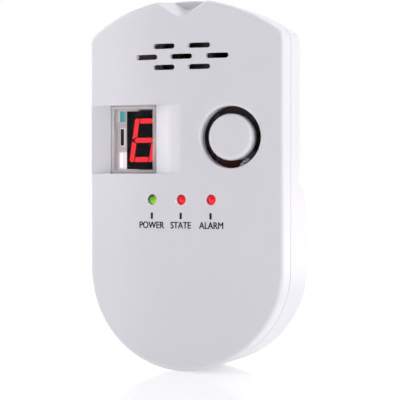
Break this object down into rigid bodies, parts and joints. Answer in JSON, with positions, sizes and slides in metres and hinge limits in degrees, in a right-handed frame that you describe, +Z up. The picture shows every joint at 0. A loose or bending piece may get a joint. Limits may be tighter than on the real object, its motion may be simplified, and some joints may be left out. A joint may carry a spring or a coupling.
{
  "type": "carbon monoxide detector",
  "caption": "Plug-in wall gas and carbon monoxide detector with a digit display behind a clear window, sounder slots, round test button, status lamps and two flat plug blades on a rear bulge.",
  "frame": {"origin": "centre of the rear face that rests against the wall, midway between the two plug blades where they leave it", "axes": "+Y into the wall along the blades, so the face looks along -Y; +Z up along the long side; +X to the right seen from the front"},
  "size_m": [0.068, 0.046, 0.1203],
  "materials": {
    "cover_plastic": "gloss, moulded",
    "button_plastic": "gloss, moulded",
    "lens_plastic": "clear, polished",
    "black_plastic": "fine matt",
    "white_part_plastic": "satin",
    "board_laminate": "tan paper laminate, satin",
    "board_print": "printed ink",
    "display_case": "satin",
    "display_black": "satin ink",
    "lit_red": "lit, diffusing resin",
    "unlit_grey": "diffusing resin, unlit",
    "lamp_green": "tinted clear resin, lit",
    "lamp_red": "tinted clear resin, lit",
    "tinned_leads": "tinned",
    "plated_steel": "nickel plated",
    "screw_steel": "zinc plated",
    "plug_brass": "nickel-washed brass",
    "spring_brass": "bright",
    "foam": "closed-cell foam",
    "sensor_ceramic": "unglazed",
    "teal_resin": "lacquered",
    "blue_resin": "lacquered",
    "trimmer_white": "satin",
    "ferrite": "sintered, dull",
    "winding_tape": "polyester tape",
    "can_sleeve": "shrunk sleeve",
    "box_yellow": "moulded case",
    "fuse_glass": "clear",
    "label_silver": "satin film, blank"
  },
  "bodies": {
    "housing": {"front_cover": "cover_plastic", "rear_cover": "cover_plastic", "display_lens": "lens_plastic", "switch_body": "black_plastic", "sounder_case": "black_plastic", "sensor_base": "black_plastic", "controller_chip": "black_plastic", "driver_chip": "black_plastic", "rectifier": "black_plastic", "regulator": "black_plastic", "transformer_bobbin": "black_plastic", "led_spacers": "black_plastic", "service_connector": "white_part_plastic", "plug_block": "white_part_plastic", "main_board": "board_laminate", "chip_outline": "board_print", "display_body": "display_case", "display_face": "display_black", "lit_segments": "lit_red", "unlit_segments": "unlit_grey", "power_led": "lamp_green", "state_led": "lamp_red", "alarm_led": "lamp_red", "led_leads": "tinned_leads", "display_pins": "tinned_leads", "sounder_pins": "tinned_leads", "sensor_pins": "tinned_leads", "transformer_pins": "tinned_leads", "capacitor_leads": "tinned_leads", "rectifier_legs": "tinned_leads", "regulator_legs": "tinned_leads", "mains_leads": "tinned_leads", "chip_legs": "tinned_leads", "switch_legs": "tinned_leads", "switch_plate": "plated_steel", "sensor_can": "plated_steel", "sensor_mesh": "plated_steel", "fuse_caps": "plated_steel", "fuse_clips": "plated_steel", "cover_screws": "screw_steel", "board_screws": "screw_steel", "plug_blades": "plug_brass", "blade_contacts": "spring_brass", "sounder_disc": "spring_brass", "sounder_gasket": "foam", "sensor_element": "sensor_ceramic", "status_resistor": "teal_resin", "trimmer_body": "blue_resin", "surge_disc": "blue_resin", "trimmer_screw": "trimmer_white", "transformer_core": "ferrite", "transformer_winding": "winding_tape", "filter_capacitors": "can_sleeve", "suppressor_capacitor": "box_yellow", "fuse_tube": "fuse_glass", "rating_plate": "label_silver"},
    "test_button": {"test_button": "button_plastic"},
    "switch_plunger": {"switch_plunger": "black_plastic"}
  },
  "joints": [
    {"name": "test_button_press", "type": "slide", "parent": "housing", "child": "test_button", "axis": [0, 1, 0], "range_m": [0, 0.0006], "stiffness_N_per_m": 1500, "springref_m": -0.0005},
    {"name": "switch_plunger_press", "type": "slide", "parent": "housing", "child": "switch_plunger", "axis": [0, 1, 0], "range_m": [0, 0.0006]}
  ],
  "couplings": [
    {"joint": "switch_plunger_press", "follows": "test_button_press", "ratio": 1}
  ]
}
